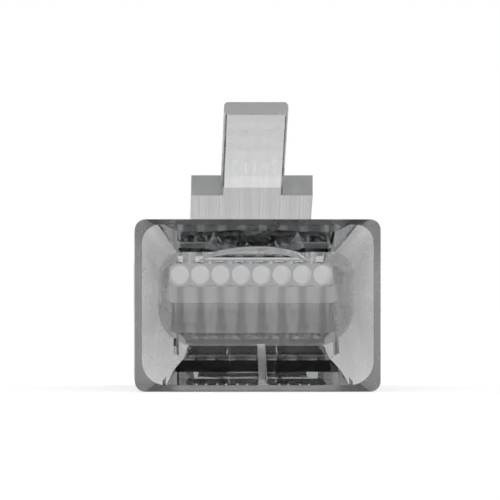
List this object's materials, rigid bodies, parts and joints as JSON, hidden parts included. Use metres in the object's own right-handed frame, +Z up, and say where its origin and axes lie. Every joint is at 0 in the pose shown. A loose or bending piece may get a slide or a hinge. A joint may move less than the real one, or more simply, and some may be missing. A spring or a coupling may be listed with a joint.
{
  "type": "rj45 modular plug",
  "caption": "Clear modular plug for twisted-pair data cable: funnel cable entry, wire channels, gold-faced blade contacts and a spring latch; not yet crimped.",
  "frame": {"origin": "middle of the body's footprint on its flat contact side, where the plug rests", "axes": "+Z up, contact side down and latch on top; +Y towards the nose that enters the jack; -Y towards the cable; +X across the contacts"},
  "size_m": [0.0116, 0.0214, 0.0139],
  "materials": {
    "clear_plastic": "clear moulded polycarbonate, glossy",
    "contacts": "stamped phosphor bronze, thin gold over nickel"
  },
  "bodies": {
    "housing": {"housing": "clear_plastic"},
    "latch": {"latch": "clear_plastic"},
    "contact_1": {"contact_1": "contacts"},
    "contact_2": {"contact_2": "contacts"},
    "contact_3": {"contact_3": "contacts"},
    "contact_4": {"contact_4": "contacts"},
    "contact_5": {"contact_5": "contacts"},
    "contact_6": {"contact_6": "contacts"},
    "contact_7": {"contact_7": "contacts"},
    "contact_8": {"contact_8": "contacts"}
  },
  "joints": [
    {"name": "latch_press", "type": "hinge", "parent": "housing", "child": "latch", "pos_m": [0, 0.00997, 0.00675], "axis": [1, 0, 0], "range_deg": [0, 11], "stiffness_Nm_per_rad": 0.25},
    {"name": "contact_1_crimp", "type": "slide", "parent": "housing", "child": "contact_1", "axis": [0, 0, 1], "range_m": [0, 0.00055]},
    {"name": "contact_2_crimp", "type": "slide", "parent": "housing", "child": "contact_2", "axis": [0, 0, 1], "range_m": [0, 0.00055]},
    {"name": "contact_3_crimp", "type": "slide", "parent": "housing", "child": "contact_3", "axis": [0, 0, 1], "range_m": [0, 0.00055]},
    {"name": "contact_4_crimp", "type": "slide", "parent": "housing", "child": "contact_4", "axis": [0, 0, 1], "range_m": [0, 0.00055]},
    {"name": "contact_5_crimp", "type": "slide", "parent": "housing", "child": "contact_5", "axis": [0, 0, 1], "range_m": [0, 0.00055]},
    {"name": "contact_6_crimp", "type": "slide", "parent": "housing", "child": "contact_6", "axis": [0, 0, 1], "range_m": [0, 0.00055]},
    {"name": "contact_7_crimp", "type": "slide", "parent": "housing", "child": "contact_7", "axis": [0, 0, 1], "range_m": [0, 0.00055]},
    {"name": "contact_8_crimp", "type": "slide", "parent": "housing", "child": "contact_8", "axis": [0, 0, 1], "range_m": [0, 0.00055]}
  ],
  "couplings": [
    {"joint": "contact_2_crimp", "follows": "contact_1_crimp", "ratio": 1},
    {"joint": "contact_3_crimp", "follows": "contact_1_crimp", "ratio": 1},
    {"joint": "contact_4_crimp", "follows": "contact_1_crimp", "ratio": 1},
    {"joint": "contact_5_crimp", "follows": "contact_1_crimp", "ratio": 1},
    {"joint": "contact_6_crimp", "follows": "contact_1_crimp", "ratio": 1},
    {"joint": "contact_7_crimp", "follows": "contact_1_crimp", "ratio": 1},
    {"joint": "contact_8_crimp", "follows": "contact_1_crimp", "ratio": 1}
  ]
}
